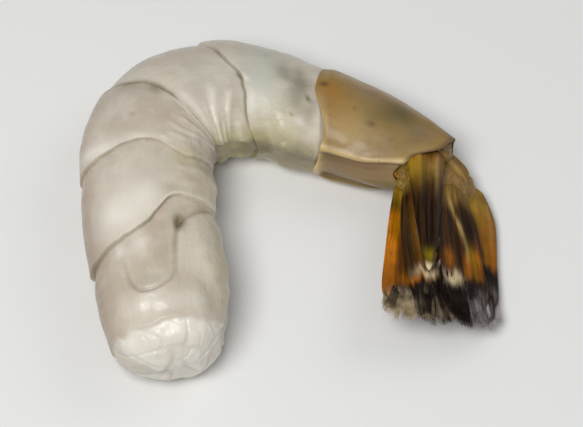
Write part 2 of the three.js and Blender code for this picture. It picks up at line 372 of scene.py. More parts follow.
def wet(nodes, surface, shade, roughness, coat, coat_roughness, scatter, reach):
    """A wet finish: its colour and roughness, its film of water and how far light wanders inside."""
    nodes.give(surface.inputs["Base Color"], shade)
    nodes.give(surface.inputs["Roughness"], roughness)
    for key, value in {
        "IOR": FLESH_IOR,
        "Coat Weight": coat,
        "Coat Roughness": coat_roughness,
        "Coat IOR": WATER_IOR,
        "Subsurface Weight": scatter,
        "Subsurface Radius": (1.0, 0.75, 0.55),
        "Subsurface Scale": reach,
    }.items():
        surface.inputs[key].default_value = value


def relief(nodes, surface, strength, depth, *parts):
    """Raises the surface by masks, each times its share."""
    height = 0.0
    for mask, share in parts:
        height = nodes.times(mask, share, height)
    node = nodes.add("ShaderNodeBump", {"Strength": strength, "Distance": depth, "Height": height})
    nodes.give(surface.inputs["Normal"], node.outputs[0])


def wet_flesh():
    material, nodes, surface = new_material("wet_flesh")
    cloud = nodes.group(MOTTLE, Scale=190.0, Low=0.36, High=0.66)
    fine = nodes.group(MOTTLE, Scale=950.0, Low=0.3, High=0.7)
    fibres = nodes.group(GRAIN, Along=26.0, Across=90.0, Low=0.45, High=0.75)
    shade = nodes.mix(cloud, (190, 178, 160), (205, 195, 178))
    shade = nodes.mix(nodes.times(fibres, 0.16), shade, (176, 164, 146))
    for mark, paint, strength in [
        ("clear", (140, 132, 114), 0.95),
        ("cool", (190, 191, 178), 0.9),
        ("rose", (168, 146, 128), 0.85),
        ("yolk", (188, 180, 132), 0.9),
        # White: the cut meat's own and the paler muscle's, and also painted highlight.
        ("white", (230, 224, 212), 1.0),
        # Dark olive: mostly painted shade in the creases, the pit and on the belly, and partly dark pigment
        # and spots.
        ("dark", (104, 93, 62), 0.9),
    ]:
        uneven = nodes.times(cloud, -0.25 * strength, strength)
        shade = nodes.mix(nodes.times(nodes.attribute(mark), uneven), shade, paint)
    wrinkles = nodes.group(CRINKLE, Scale=330.0, Width=0.035)
    relief(nodes, surface, 0.6, 0.1 * MM, (fine, 0.5), (fibres, -0.25), (wrinkles, -0.25))
    roughness = nodes.spread(fine, 0, 1, 0.36, 0.5)
    wet(nodes, surface, shade, roughness, coat=0.45, coat_roughness=0.13, scatter=0.3, reach=2.2 * MM)
    return material


def wet_shell():
    material, nodes, surface = new_material("wet_shell")
    cloud = nodes.group(MOTTLE, Scale=240.0, Low=0.35, High=0.68)
    speckle = nodes.group(MOTTLE, Scale=1500.0, Low=0.6, High=0.72)
    streaks = nodes.group(GRAIN, Along=3.0, Across=50.0, Low=0.45, High=0.75)
    shade = nodes.mix(cloud, (150, 123, 70), (140, 112, 60))
    shade = nodes.mix(nodes.times(streaks, 0.25), shade, (126, 98, 60))
    for mark, paint in [
        ("pale", (210, 182, 128)),
        ("blush", (126, 100, 68)),
        ("orange", (156, 110, 42)),
        ("dusk", (138, 114, 90)),
        ("olive", (92, 82, 48)),
        ("dark", (84, 60, 38)),
    ]:
        shade = nodes.mix(nodes.attribute(mark), shade, paint)
    shade = nodes.mix(nodes.times(speckle, 0.3), shade, (104, 76, 42))
    relief(nodes, surface, 0.4, 0.1 * MM, (cloud, 0.5), (streaks, -0.4))
    roughness = nodes.spread(cloud, 0, 1, 0.4, 0.52)
    wet(nodes, surface, shade, roughness, coat=0.3, coat_roughness=0.14, scatter=0.12, reach=1.5 * MM)
    return material


def wet_blade():
    material, nodes, surface = new_material("wet_blade")
    cloud = nodes.group(MOTTLE, Scale=420.0, Low=0.35, High=0.65)
    streaks = nodes.group(GRAIN, Along=2.6, Across=1.7, Low=0.38, High=0.66)
    fine = nodes.group(GRAIN, Along=7.0, Across=6.0, Low=0.4, High=0.65)
    shade = nodes.mix(streaks, (30, 17, 6), (72, 44, 14))
    shade = nodes.mix(nodes.times(fine, 0.35), shade, (50, 31, 12))
    # Each mark's paint, how much of it the clouds wear off, and how much is left beside and on the fine ribs.
    for mark, paint, uneven, ribbed in [
        ("root", (150, 116, 52), 0.35, (1.0, 0.65)),
        # Pale along the ribs: partly their own colour and partly painted highlight on their crests.
        ("rib", (168, 138, 82), 0.3, None),
        ("olive", (168, 131, 14), 0.3, None),
        ("rim", (206, 120, 8), 0.3, (1.0, 0.65)),
        # Reddish brown, and also painted shade under the shell's rim at the telson's root.
        ("rust", (144, 85, 18), 0.35, (1.0, 0.65)),
        ("tip", (20, 12, 11), 0.1, None),
        ("haze", (112, 98, 90), 0.5, (0.35, 1.0)),
        ("cream", (246, 222, 176), 0.3, None),
        ("lime", (130, 114, 3), 0.2, None),
    ]:
        amount = nodes.times(nodes.attribute(mark), nodes.times(cloud, -uneven, 1.0))
        if ribbed:
            amount = nodes.times(amount, nodes.spread(fine, 0, 1, *ribbed))
        shade = nodes.mix(amount, shade, paint)
    relief(nodes, surface, 0.35, 0.07 * MM, (fine, 0.4), (streaks, 0.6))
    roughness = nodes.spread(streaks, 0, 1, 0.34, 0.5)
    wet(nodes, surface, shade, roughness, coat=0.09, coat_roughness=0.13, scatter=0.05, reach=1.0 * MM)
    surface.inputs["Specular IOR Level"].default_value = 0.1
    return material


def wet_tissue():
    material, nodes, surface = new_material("wet_tissue")
    cloud = nodes.group(MOTTLE, Scale=520.0, Low=0.35, High=0.65)
    spots = nodes.group(MOTTLE, Scale=1500.0, Low=0.55, High=0.7)
    wrinkles = nodes.group(CRINKLE, Scale=700.0, Width=0.06)
    shade = nodes.mix(cloud, (122, 90, 34), (146, 112, 50))
    shade = nodes.mix(nodes.times(spots, 0.5), shade, (104, 74, 38))
    shade = nodes.mix(nodes.attribute("olive"), shade, (132, 110, 30))
    shade = nodes.mix(nodes.times(wrinkles, 0.22), shade, (70, 48, 26))
    relief(nodes, surface, 0.6, 0.12 * MM, (cloud, 0.5), (wrinkles, -0.25))
    roughness = nodes.spread(cloud, 0, 1, 0.36, 0.5)
    wet(nodes, surface, shade, roughness, coat=0.25, coat_roughness=0.15, scatter=0.2, reach=1.2 * MM)
    return material


def wet_bristle():
    material, nodes, surface = new_material("wet_bristle")
    cloud = nodes.group(MOTTLE, Scale=700.0, Low=0.35, High=0.65)
    dark = nodes.mix(cloud, (18, 9, 6), (34, 22, 17))
    fair = nodes.mix(cloud, (146, 126, 92), (188, 168, 132))
    outwards = nodes.spread(nodes.attribute("along"), 0, 0.7, 0.45, 1.0)
    shade = nodes.mix(nodes.times(nodes.attribute("fair"), outwards), dark, fair)
    shade = nodes.mix(nodes.times(nodes.attribute("mauve"), outwards), shade, (172, 161, 162))
    wet(nodes, surface, shade, 0.45, coat=0.06, coat_roughness=0.15, scatter=0.05, reach=0.5 * MM)
    surface.inputs["Specular IOR Level"].default_value = 0.18
    return material


# ---------- Flesh ----------

# Where each crease between two segments runs: (angle from the back, s) down either flank.
CREASES = {
    "first": [
        (0, 17.4), (30, 18.2), (56, 19.4), (70, 20.2), (84, 21.6), (92, 23.2), (98, 24.8), (106, 25.6),
        (125, 25.3), (145, 24.8), (180, 24.4)],
    "second": [
        (0, 32.6), (24, 33.2), (52, 34.2), (74, 35.4), (92, 35.4), (104, 34.0), (120, 32.6), (146, 33.0),
        (180, 33.4)],
    "third": [(0, 41.4), (38, 42.5), (70, 44.0), (94, 44.6), (120, 44.2), (150, 45.0), (180, 45.5)],
    "fourth": [
        (0, 51.8), (45, 53.2), (74, 54.9), (88, 56.9), (106, 57.8), (132, 58.4), (158, 60.2), (180, 61.0)],
}
CREASE_MIDDLES = [np.mean([s for _, s in knots]) for knots in CREASES.values()]
RIM_AT = 5.0  # the ragged edge of the outer flesh round the white cut meat
FLANK_RADIUS = 9.5  # turns an angle on the body into millimetres round it


def folded(angle):
    """The angle from the back in degrees, 0 to 180 down either flank."""
    turned = np.degrees(angle) % 360
    return np.minimum(turned, 360 - turned)


def crease_line(knots, angle, seed):
    """Where a crease lies at each angle, rounded off between its knots and a little uneven."""
    around = np.arange(0, 361)
    raw = np.interp(folded(around * DEG), *zip(*knots))
    window = bump(np.arange(-15, 16), 5.0)
    padded = np.concatenate([raw[-16:-1], raw, raw[1:16]])
    smooth = np.convolve(padded, window / window.sum(), mode="valid")
    circle = np.stack([np.cos(around * DEG), np.sin(around * DEG), 0 * around], -1)
    smooth = smooth + 0.3 * rumple(circle, 0.4, seed) + 0.12 * rumple(circle, 0.12, seed)
    return np.interp(np.degrees(angle) % 360, around, smooth)


def stroke(path, s, across):
    """How far each place is from a smooth line through the path's (s, angle) knots, with its sign, and how
    far along the line it lies, 0 to 1."""
    knots = np.array([(p[0], p[1] * DEG * FLANK_RADIUS) for p in path], float)
    ends = np.concatenate([[2 * knots[0] - knots[1]], knots, [2 * knots[-1] - knots[-2]]])
    line = []
    for i in range(len(knots) - 1):
        a, b, c, d = ends[i : i + 4]
        for t in np.linspace(0, 1, 12, endpoint=i == len(knots) - 2):
            bent = (2 * a - 5 * b + 4 * c - d) * t**2 + (3 * b - a - 3 * c + d) * t**3
            line.append(0.5 * (2 * b + (c - a) * t + bent))
    line = np.array(line)
    ways = np.gradient(line, axis=0)
    best = np.full(s.shape, np.inf)
    nearest = np.zeros(s.shape, int)
    for i, (x, y) in enumerate(line):
        distance = (s - x) ** 2 + (across - y) ** 2
        closer = distance < best
        best = np.where(closer, distance, best)
        nearest = np.where(closer, i, nearest)
    side = ways[nearest, 0] * (across - line[nearest, 1]) - ways[nearest, 1] * (s - line[nearest, 0])
    return np.sqrt(best) * np.sign(side), nearest / (len(line) - 1)


def overlap(distance, rise, sink, back=3.5, fore=3.0, edge=0.14):
    """A flap's edge. The flap is on the positive side and rises to its edge, and what is under it sinks."""
    on_flap = ease(distance, -edge, edge)
    flap = rise * np.exp(-np.maximum(distance, 0) / back)
    under = sink * np.exp(-np.maximum(-distance, 0) / fore)
    return on_flap * flap - (1 - on_flap) * under


def ridge(path, s, across, width):
    """A soft ridge along a path, 1 at its crest, which fades out at both ends."""
    distance, along = stroke(path, s, across)
    return bump(distance, width) * between(along, 0, 0.25, 0.75, 1)


def spaced(low, high, count, density):
    """So many places from low to high, closer together where the density is higher."""
    fine = np.linspace(low, high, 4000)
    total = np.cumsum(density(fine))
    return np.interp(np.linspace(total[0], total[-1], count), total, fine)


def row_density(s):
    creases = sum(2.2 * bump(s - at, 1.1) for at in CREASE_MIDDLES)
    lip = 0.8 * bump(s - 11.5, 2.0)
    return 1 + creases + lip + 1.6 * bump(s - RIM_AT, 1.2) + 0.8 * bump(s - FLESH_LENGTH, 1.5)


def flank_density(angle):
    return 0.5 + np.exp(-(((angle - 98) / 76) ** 4))


# Lumps and dents, and patches of colour, on either flank. Each has its height in millimetres or its strength,
# its middle's s and angle from the back, and its reach in both.
LUMPS = [
    (1.1, 14.0, 152, 5.0, 26), (-0.7, 20.8, 107, 1.1, 4.6), (0.3, 15.6, 57, 1.2, 6), (0.2, 17.6, 74, 1.2, 6),
    (0.22, 8.2, 62, 1.0, 8), (0.18, 7.6, 84, 0.9, 9), (0.3, 66.6, 140, 2.6, 20), (0.16, 66.8, 112, 1.6, 9),
    (-0.2, 62.8, 148, 1.2, 18),
]
# The belly swells between the creases, where the legs were pulled off.
LUMPS += [(0.36, at, 162, 2.3, 20) for at in (9.0, 20.5, 29.5, 39.0, 50.5, 65.5)]
for leg_at in (14.0, 28.5, 39.5, 52.0, 66.0):
    LUMPS += [(0.35, leg_at, 160, 1.0, 5.5), (-0.4, leg_at, 160, 0.45, 2.5)]
FLESH_PATCHES = {
    # The white patches are partly the paler muscle's own colour and partly painted highlight where the flesh
    # faces the light.
    "white": [
        (0.85, 17.5, 53, 1.2, 6), (0.7, 18.2, 73, 1.0, 7), (0.45, 8.0, 74, 1.6, 22), (0.3, 7.4, 108, 1.8, 20),
        (0.6, 67.6, 122, 0.9, 5), (0.15, 66.8, 138, 2.0, 16), (0.25, 30.0, 66, 2.4, 26)],
    "clear": [
        (0.3, 30.0, 92, 2.6, 16), (0.35, 11.2, 78, 1.1, 14), (0.4, 26.6, 104, 0.9, 10),
        (0.5, 8.6, 124, 3.4, 18)],
    "cool": [
        (0.85, 60.2, 76, 4.2, 28), (0.6, 60.0, 104, 3.0, 18), (0.5, 51.0, 86, 3.4, 24),
        (0.35, 59.0, 44, 3.0, 18), (0.3, 41.0, 60, 3.0, 28), (0.3, 64.0, 112, 2.6, 12)],
    "rose": [(0.5, 40.0, 108, 3.0, 20), (0.35, 29.5, 120, 4.0, 20), (0.25, 40.0, 74, 3.0, 30)],
    "yolk": [
        (0.85, 55.0, 162, 6.5, 24), (0.6, 64.5, 134, 4.0, 24), (0.5, 32.4, 116, 2.4, 14),
        (0.4, 47.5, 158, 3.0, 20), (0.3, 28.0, 130, 4.0, 20), (0.3, 14.0, 140, 8.0, 26)],
    # The second dark patch is painted shade in the pit beside the lobe. The others are the flesh's own dark
    # spots.
    "dark": [
        (0.4, 39.2, 72, 0.3, 2.6), (0.95, 21.0, 107.5, 1.6, 5.6), (0.95, 69.3, 94, 0.5, 3.6),
        (0.35, 60.5, 56, 0.4, 3.6), (0.55, 66.0, 118, 0.4, 2.2)],
}
# Soft folds where the inner side of the bend is pressed together: height, width and path of (s, angle).
FOLDS = [
    (0.24, 1.0, [(45.9, 86), (46.6, 104), (47.0, 124), (46.8, 150)]),
    (0.3, 0.9, [(51.4, 90), (51.2, 108), (50.4, 128), (50.0, 152), (50.4, 168)]),
    (0.24, 0.8, [(54.9, 98), (54.6, 114), (54.4, 134), (54.6, 158)]),
    (0.14, 0.5, [(48.6, 110), (48.4, 132), (48.4, 156)]),
    (0.2, 0.6, [(52.6, 130), (52.6, 148), (53.2, 168)]),
    (0.2, 0.7, [(57.0, 132), (57.4, 150), (58.6, 168)]),
    (0.2, 0.6, [(41.6, 104), (41.2, 124), (41.8, 150)]),
    (0.18, 0.6, [(39.4, 98), (38.4, 118), (38.4, 146)]),
    (0.14, 0.5, [(37.0, 100), (36.0, 118), (35.6, 140)]),
    (0.16, 0.7, [(30.8, 106), (30.4, 124), (30.6, 148)]),
    (0.14, 0.8, [(28.0, 108), (27.6, 130), (28.0, 154)]),
    (0.12, 0.7, [(62.0, 128), (62.6, 146), (63.6, 168)]),
]
# The first segment's edges: the lobe beside the belly, and the small lip that the sunken tongue ends in.
LOBE_EDGE = [
    (24.0, 160), (23.2, 140), (22.2, 124), (20.8, 111), (18.6, 104), (15.5, 101), (12.6, 100), (10.0, 103)]
LIP_EDGE = [(13.6, 99), (11.6, 95), (10.4, 86), (9.9, 75), (10.3, 64), (12.0, 57), (14.4, 54), (16.4, 55)]


def build_flesh(material):
    dome = np.linspace(0, 1, DOME_ROWS, endpoint=False)
    body = spaced(RIM_AT, FLESH_LENGTH, BODY_ROWS, row_density)
    plug = np.linspace(0, 1, PLUG_ROWS + 1)[1:]
    rows, columns = len(dome) + len(body) + len(plug), FLESH_COLUMNS
    piece, _, _ = sheet_of("flesh", rows - 1, columns)
    angle = spaced(-90, 270, columns + 1, flank_density)[None, :] * DEG * np.ones((rows, 1))
    flat = folded(angle)
    across = flat * DEG * FLANK_RADIUS
    cosine, sine = np.cos(angle), np.sin(angle)

    # The rows bend with the creases, so that each crease lies along one of them.
    circle = np.stack([cosine[0], sine[0], cosine[0] * 0], -1)
    ragged = RIM_AT + 0.9 * rumple(circle, 0.55, 3) + 0.5 * rumple(circle, 0.16, 4)
    lines = [crease_line(knots, angle[0], 6 + i) for i, knots in enumerate(CREASES.values())]
    base_at = [0, RIM_AT] + CREASE_MIDDLES + [FLESH_LENGTH]
    true_at = [np.zeros(columns + 1), ragged] + lines + [np.full(columns + 1, FLESH_LENGTH)]
    base = np.concatenate([RIM_AT * dome**1.5, body, np.full(len(plug), FLESH_LENGTH)])
    s = np.stack([np.interp(base, base_at, [line[j] for line in true_at]) for j in range(columns + 1)], -1)
    in_plug = np.concatenate([np.zeros(len(dome) + len(body)), plug])[:, None] * np.ones(columns + 1)
    in_dome = np.concatenate([1 - dome, np.zeros(len(body) + len(plug))])[:, None] * np.ones(columns + 1)
    s = s + in_plug * PLUG_LENGTH
    first, second, third, fourth = [s - line for line in lines]
    rim = s - ragged

    leaned = s + setback_at(angle) * ease(s, 56.2, FLESH_LENGTH)
    depth, breadth = size_at(s)
    belly = 1 - lerp(0.12, 0.07, ease(s, 38, 48)) * bump(cosine + 1, 0.5) - 0.05 * bump(cosine + 1, 0.04)
    rough = about_spine(leaned, depth / 2 * belly * cosine, breadth / 2 * sine)
    uneven = 1 + 0.5 * rumple(rough, 4.0, 14)
    belly_side = ease(flat, 100, 135)

    # Each segment's front edge lies over the one before it, but the third segment lies over the fourth.
    high = np.full_like(s, -SKIN_ROOM)
    high += overlap(first, 0.34 - 0.16 * belly_side, 0.4 - 0.2 * belly_side, 6.0, 4.5) * uneven
    high += overlap(second, 0.26, 0.22, 4.0, 3.5) * uneven
    high += overlap(-third, 0.2 + 0.16 * belly_side, 0.26, 3.5, 2.6) * uneven
    high += overlap(fourth, 0.26, 0.3, 3.5, 2.8) * uneven
    for distance, way in ((first, 1), (second, 1), (third, -1), (fourth, 1)):
        high -= 0.16 * bump(distance, 2.4) + 0.1 * bump(distance + 0.1 * way, 0.2)

    lobe, lobe_along = stroke(LOBE_EDGE, s, across)
    lobe = lobe * facing(lobe, s, flat, (14.0, 125))
    lobe_strength = between(lobe_along, 0.0, 0.1, 0.72, 1.0)
    rise = 0.36 * ease(lobe, -0.16, 0.5) * np.exp(-np.maximum(lobe, 0) / 4.5)
    high += lobe_strength * (rise - 0.3 * bump(lobe + 0.35, 0.4))
    lip, lip_along = stroke(LIP_EDGE, s, across)
    lip = lip * facing(lip, s, flat, (7, 78))
    lip_strength = between(lip_along, 0.0, 0.08, 0.6, 1.0)
    rise = 0.3 * ease(lip, -0.1, 0.6) * np.exp(-np.maximum(lip, 0) / 1.8)
    high += lip_strength * (rise - 0.22 * bump(lip + 0.2, 0.3)) * uneven
    hollow = ease(s, 10.5, 13.0) * ease(first, 0.0, -4.0) * between(flat, 56, 72, 92, 101)
    tongue = ease(s, 11.5, 15.0) * ease(first, 0.0, -0.6) * between(flat, 68, 86, 92, 101)
    high -= (0.3 + 0.1 * rumple(rough, 2.5, 18)) * hollow

    high += patches(s, flat, *LUMPS)
    inner = ease(s, 42, 46) * ease(flat, 140, 156)
    high += inner * (0.3 * rumple(rough, 2.6, 24) + 0.16 * rumple(rough, 1.1, 25))
    crests = np.zeros_like(s)
    for height, width, path in FOLDS:
        crest = ridge(path, s, across, width)
        high += height * crest
        crests = np.maximum(crests, crest * height / 0.3)

    # The cut end: the outer flesh stops in a ragged edge and the white meat swells out of it in bundles.
    dome_scale = np.sin(math.pi / 2 * (1 - in_dome)) ** 0.6
    scale = dome_scale * np.sqrt(np.clip(1 - in_plug**4, 0, 1))
    face = about_spine(leaned, depth / 2 * scale * cosine, breadth / 2 * scale * sine)
    high -= 0.3 * ease(rim, 0.2, -0.2) + 0.1 * bump(rim + 0.4, 0.4)
    meat = ease(rim, 0.2, -1.2)
    seams = bump(rumple(face, 5.5, 11), 0.07) + 0.5 * bump(rumple(face, 3.4, 16), 0.06)
    high += meat * (0.3 * rumple(face, 4.5, 12) + 0.16 * rumple(face, 1.6, 13) - 0.25 * seams)

    high += 0.2 * rumple(rough, 6.0, 1) + 0.08 * (1 + belly_side) * rumple(rough, 2.2, 2)
    high += 0.02 * rumple(rough, 0.7, 9)

    # Under the shell's rim the flesh draws in, and closes inside.
    high -= 0.3 * ease(s, FLESH_LENGTH - 0.5, FLESH_LENGTH) + 0.7 * ease(in_plug, 0, 0.3)
    outwards = (depth / 2 * belly + high) * scale * cosine
    upwards = (breadth / 2 + high) * scale * sine
    dents = 0.7 + 0.9 * rumple(face, 4.0, 15) + 0.4 * seams + 0.3 * rumple(face, 1.5, 17)
    dents = meat * (1 - dome_scale**2) * dents
    points = about_spine(leaned + 0.9 * dents, outwards, np.maximum(breadth / 2 - SAG + upwards, 0))

    marks = {mark: patches(s, flat, *rows) for mark, rows in FLESH_PATCHES.items()}
    # Besides the cut meat's own white, these are mostly painted highlight: on the front of the second and
    # third segments, along the flap edges at the creases and on the fold crests.
    marks["white"] += (
        0.9 * ease(rim, 0.3, -0.4)
        + ease(first, -0.05, 0.25) * patches(s, flat, (0.9, 23.4, 60, 3.6, 24), (0.5, 25.6, 84, 3.0, 14))
        + ease(second, 0.0, 0.25) * patches(s, flat, (0.95, 34.9, 40, 1.5, 28), (0.5, 35.8, 84, 0.7, 14))
        + patches(second, flat, (0.55, 0.8, 100, 0.5, 5))
        + patches(s, flat, (0.25, 16.0, 126, 6.0, 20)) * ease(lobe, -0.1, 0.2)
        + patches(s, flat, (0.45, 60.2, 112, 2.6, 13)) * ease(fourth, 0, 0.4)
        + patches(fourth, flat, (0.6, 0.9, 112, 0.8, 14), (0.6, 0.5, 90, 0.5, 4))
        + crests * (0.6 * ease(s, 44, 46) + 0.25 * ease(s, 44, 40))
        + 0.8 * bump(third + 0.2, 0.26) * ease(flat, 88, 104)
        + 0.35 * bump(first - 0.4, 0.25) * ease(flat, 86, 100))
    # In front of the shell the flesh is clear in blotches.
    blotched = patches(s, flat, (0.95, 66.0, 70, 4.2, 20), (0.9, 68.0, 100, 2.6, 18))
    marks["clear"] += blotched * (0.85 + 0.9 * rumple(rough, 2.2, 30))
    # The rose along the back, from the cut end to the third segment, is partly painted shade on the side
    # turned from the light.
    marks["rose"] += (
        0.9 * ease(flat, 50, 18) * ease(s, 46, 38)
        + 0.42 * tongue
        + patches(s, flat, (0.4, 23.6, 120, 1.2, 20)) * ease(first, 0, -0.2))
    marks["yolk"] += 0.55 * ease(s, 46, 54) * ease(flat, 132, 156)
    # Mostly painted shade: in the creases, under the tongue's lip and the lobe's edge, in the notch at the
    # fourth crease and over the belly where it turns from the light. The third crease's line is partly also
    # its own dark pigment.
    marks["dark"] += (
        0.42 * bump(first + 0.08, 0.2) * ease(flat, 112, 96)
        + (0.42 - 0.2 * ease(flat, 60, 90)) * bump(second + 0.06, 0.18)
        + 0.9 * bump(third - 0.18, 0.4) * between(flat, 16, 34, 88, 104) * uneven
        + 0.3 * bump(third + 0.5, 0.8) * between(flat, 34, 56, 74, 96)
        + patches(third, flat, (0.4, -0.5, 76, 0.8, 7))
        + 0.65 * bump(fourth + 0.2, 0.28) * between(flat, 40, 60, 132, 150)
        + patches(fourth, flat, (0.55, -0.5, 88, 0.4, 3.0))
        + 0.25 * lip_strength * bump(lip + 0.2, 0.3) * uneven
        + 0.35 * lobe_strength * bump(lobe + 0.25, 0.3) * uneven
        + 0.95 * ease(s, 56, 61) * ease(flat, 134, 174)
        + 0.6 * between(s, 44, 50, 56, 61) * ease(flat, 148, 180)
        + 0.3 * ease(flat, 30, 10) * ease(s, 34, 24))
    wrap(piece, inside_box(points), marks)
    dress(piece, material, "flesh", "flesh")


def facing(distance, s, flat, at):
    """1 or -1, the sign that a stroke's distance has around a place."""
    near = patches(s, flat, (1.0, *at, 1.0, 5.0)) > 0.4
    return 1.0 if np.mean(np.sign(distance[near])) > 0 else -1.0


# ---------- Tail shell ----------


def lip_angle(share):
    """The angle of the shell's side edge, which climbs the flank towards the rear."""
    return 143 - 4 * ease(share, 0, 0.5) - 19 * ease(share, 0.45, 1.1)


def shell_point(share, angle, inset):
    """A point `inset` inside the shell's outer face. `share` runs from its mouth to its slanted rear rim."""
    flat = folded(angle)
    backwards = (np.cos(angle) + 1) / 2
    length = lerp(SHELL_BELLY, SHELL_BACK, backwards) + SHELL_FLANK * np.sin(angle) ** 2 * 2 * backwards
    # The rim's round lobe on each flank, and the notch below it, where the side edge ends.
    length = length + 1.4 * between(flat, 58, 88, 94, 112) - 1.5 * between(flat, 96, 114, 146, 170)
    setback = setback_at(angle)
    s = FLESH_LENGTH + setback + (length - setback) * share
    taper = np.clip(share, 0, 1)
    back_rise = lerp(MOUTH_SIZE[0] / 2, TIP_RISE, taper**2.6)
    belly_drop = MOUTH_SIZE[0] / 2 * (1 + 0.04 * taper)
    breadth = lerp(MOUTH_SIZE[1], REAR_BREADTH, taper**1.5)
    flattened = 1 - 0.12 * bump(np.cos(angle) + 1, 0.5)
    beyond = flat - lip_angle(taper)
    plate = 0.95 * ease(beyond, 3, 12) * ease(taper, 0.0, 0.1)
    keel = 0.5 * taper * bump(np.sin(angle), 0.16)
    side_edge = 0.22 * bump(beyond, 5)
    shoulder = 0.16 * bump(flat - 62, 16) * np.sin(math.pi * taper)
    half = np.where(np.cos(angle) > 0, back_rise + keel, belly_drop * flattened - plate)
    height = lerp(MOUTH_SIZE[1] / 2 - SAG, REAR_HEIGHT, share)
    grown = side_edge + shoulder - inset
    outwards = (half + grown) * np.cos(angle)
    upwards = (breadth / 2 + grown) * np.sin(angle)
    return about_spine(s, outwards, np.maximum(height + upwards, np.maximum(inset, 0) * 0.6))


# Patches of colour on either flank: strength, the middle's share of the length and angle, the reach in both.
SHELL_PATCHES = {
    "pale": [(0.3, 0.3, 108, 0.24, 20), (0.3, 0.3, 40, 0.3, 14), (0.6, 0.94, 136, 0.07, 12)],
    "blush": [(0.6, 0.06, 88, 0.05, 12)],
    "orange": [(0.75, 0.07, 72, 0.09, 14), (0.3, 0.14, 92, 0.16, 24)],
    "dusk": [(0.7, 0.36, 56, 0.16, 16), (0.5, 0.8, 84, 0.1, 12)],
    "olive": [
        (0.85, 0.61, 69, 0.15, 22), (0.35, 0.42, 84, 0.12, 14), (0.35, 0.14, 156, 0.2, 14),
        (0.4, 0.8, 96, 0.1, 16)],
    "dark": [
        (0.85, 0.03, 70, 0.03, 3.4), (0.6, 0.42, 96, 0.035, 3), (0.4, 0.27, 86, 0.02, 2),
        (0.35, 0.66, 104, 0.02, 2)],
}


def build_shell(material):
    # The sheet runs over the outside, round the rear rim, back over the inside and round the mouth's rim.
    bend = np.linspace(0, math.pi, RIM_ROWS + 2)[1:-1]
    rim_bulge = 0.012 * np.sin(bend)
    share = np.concatenate(
        [np.linspace(0, 1, OUTER_ROWS), 1 + rim_bulge, np.linspace(1, 0, INNER_ROWS), -rim_bulge, [0]])
    depth_in = SHELL_WALL * np.concatenate(
        [np.zeros(OUTER_ROWS), (1 - np.cos(bend)) / 2, np.ones(INNER_ROWS), (1 + np.cos(bend)) / 2, [0]])
    piece, _, turn = sheet_of("tail_shell", len(share) - 1, SHELL_COLUMNS)
    angle = turn * 2 * math.pi - math.pi / 2
    flat = folded(angle)
    around = np.ones(SHELL_COLUMNS + 1)
    share, inset = share[:, None] * around, depth_in[:, None] * around
    share = share + (0.02 * np.sin(3 * angle + 1.0) + 0.012 * np.sin(7 * angle)) * ease(share, 0.2, 0)
    rough = shell_point(share, angle, inset)
    dents = (0.16 * rumple(rough, 6.0, 21) + 0.05 * rumple(rough, 2.0, 22)) * ease(share, 0.0, 0.15)
    tucked = 0.24 * ease(share, 0.05, 0.0) * ease(flat, 140, 130)
    points = inside_box(shell_point(share, angle, inset - dents - SHELL_LIFT + tucked))

    beyond = flat - lip_angle(share)
    marks = {mark: patches(share, flat, *rows) for mark, rows in SHELL_PATCHES.items()}
    # The pale line along the side edge is partly painted highlight where the edge catches the light.
    marks["pale"] += (
        0.85 * bump(beyond, 4)
        + 0.5 * ease(share, 0.1, 0.01) * ease(flat, 66, 96) * (0.8 + 0.6 * rumple(rough, 3.0, 26))
        + 0.7 * between(beyond, 20, 26, 34, 44)
        + 0.5 * ease(beyond, 2, 8) * ease(share, 0.14, 0))
    marks["blush"] += 0.85 * between(beyond, 4, 9, 34, 50) * ease(share, 0.0, 0.12)
    marks["dusk"] += 0.22 * ease(rumple(rough, 4.0, 27), 0.1, 0.5)
    marks["olive"] += 0.5 * bump(beyond - 7, 2.5) + 0.4 * ease(beyond, 36, 50)
    # Darker along the back and at the rear rim: partly the shell's own brown, partly painted shade along the
    # top edge and under the rim.
    marks["dark"] += (
        0.6 * ease(flat, 34, 8) * ease(share, -0.1, 0.3)
        + 0.7 * ease(share, 0.95, 1.0) * ease(flat, 150, 110))
    wrap(piece, points, marks)
    dress(piece, material, "shell", "tail_shell")


# ---------- Tail fan ----------

# Each piece, in the fan's own frame: its length, width and thickness, its root's place, how far its tip leads
# away from the middle (splay), its roll, how far its tip is raised (pitch), and the part of its length that
# is blade, as bristles take up the rest.
FAN_PIECES = {
    "telson": dict(
        length=22.4, width=6.4, thick=2.0, root=(-0.9, 0, 1.3), splay=-9, roll=0, pitch=0, plate=0.97),
    "uropod_base_left": dict(
        length=5.0, width=4.6, thick=2.0, root=(-1.1, 2.4, -1), splay=8, roll=6, pitch=0, plate=1.0),
    "uropod_base_right": dict(
        length=6.4, width=6.0, thick=2.0, root=(-1.2, 3.2, -1), splay=38, roll=4, pitch=0, plate=1.0),
    "endopod_left": dict(
        length=25.0, width=7.4, thick=1.1, root=(4.3, 2.3, -0.8), splay=-0.5, roll=0, pitch=0, plate=0.9),
    "endopod_right": dict(
        length=25.4, width=7.8, thick=1.1, root=(4.3, 3.9, 0), splay=-2.6, roll=6, pitch=0, plate=0.9),
    "exopod_left": dict(
        length=26.0, width=7.2, thick=1.2, root=(3.2, 0.8, -2.75), splay=16.2, roll=9, pitch=2.2, plate=0.9),
    "exopod_right": dict(
        length=26.8, width=9.6, thick=1.2, root=(3.1, 8.1, -2.1), splay=-8.3, roll=3, pitch=1.5, plate=0.9),
}
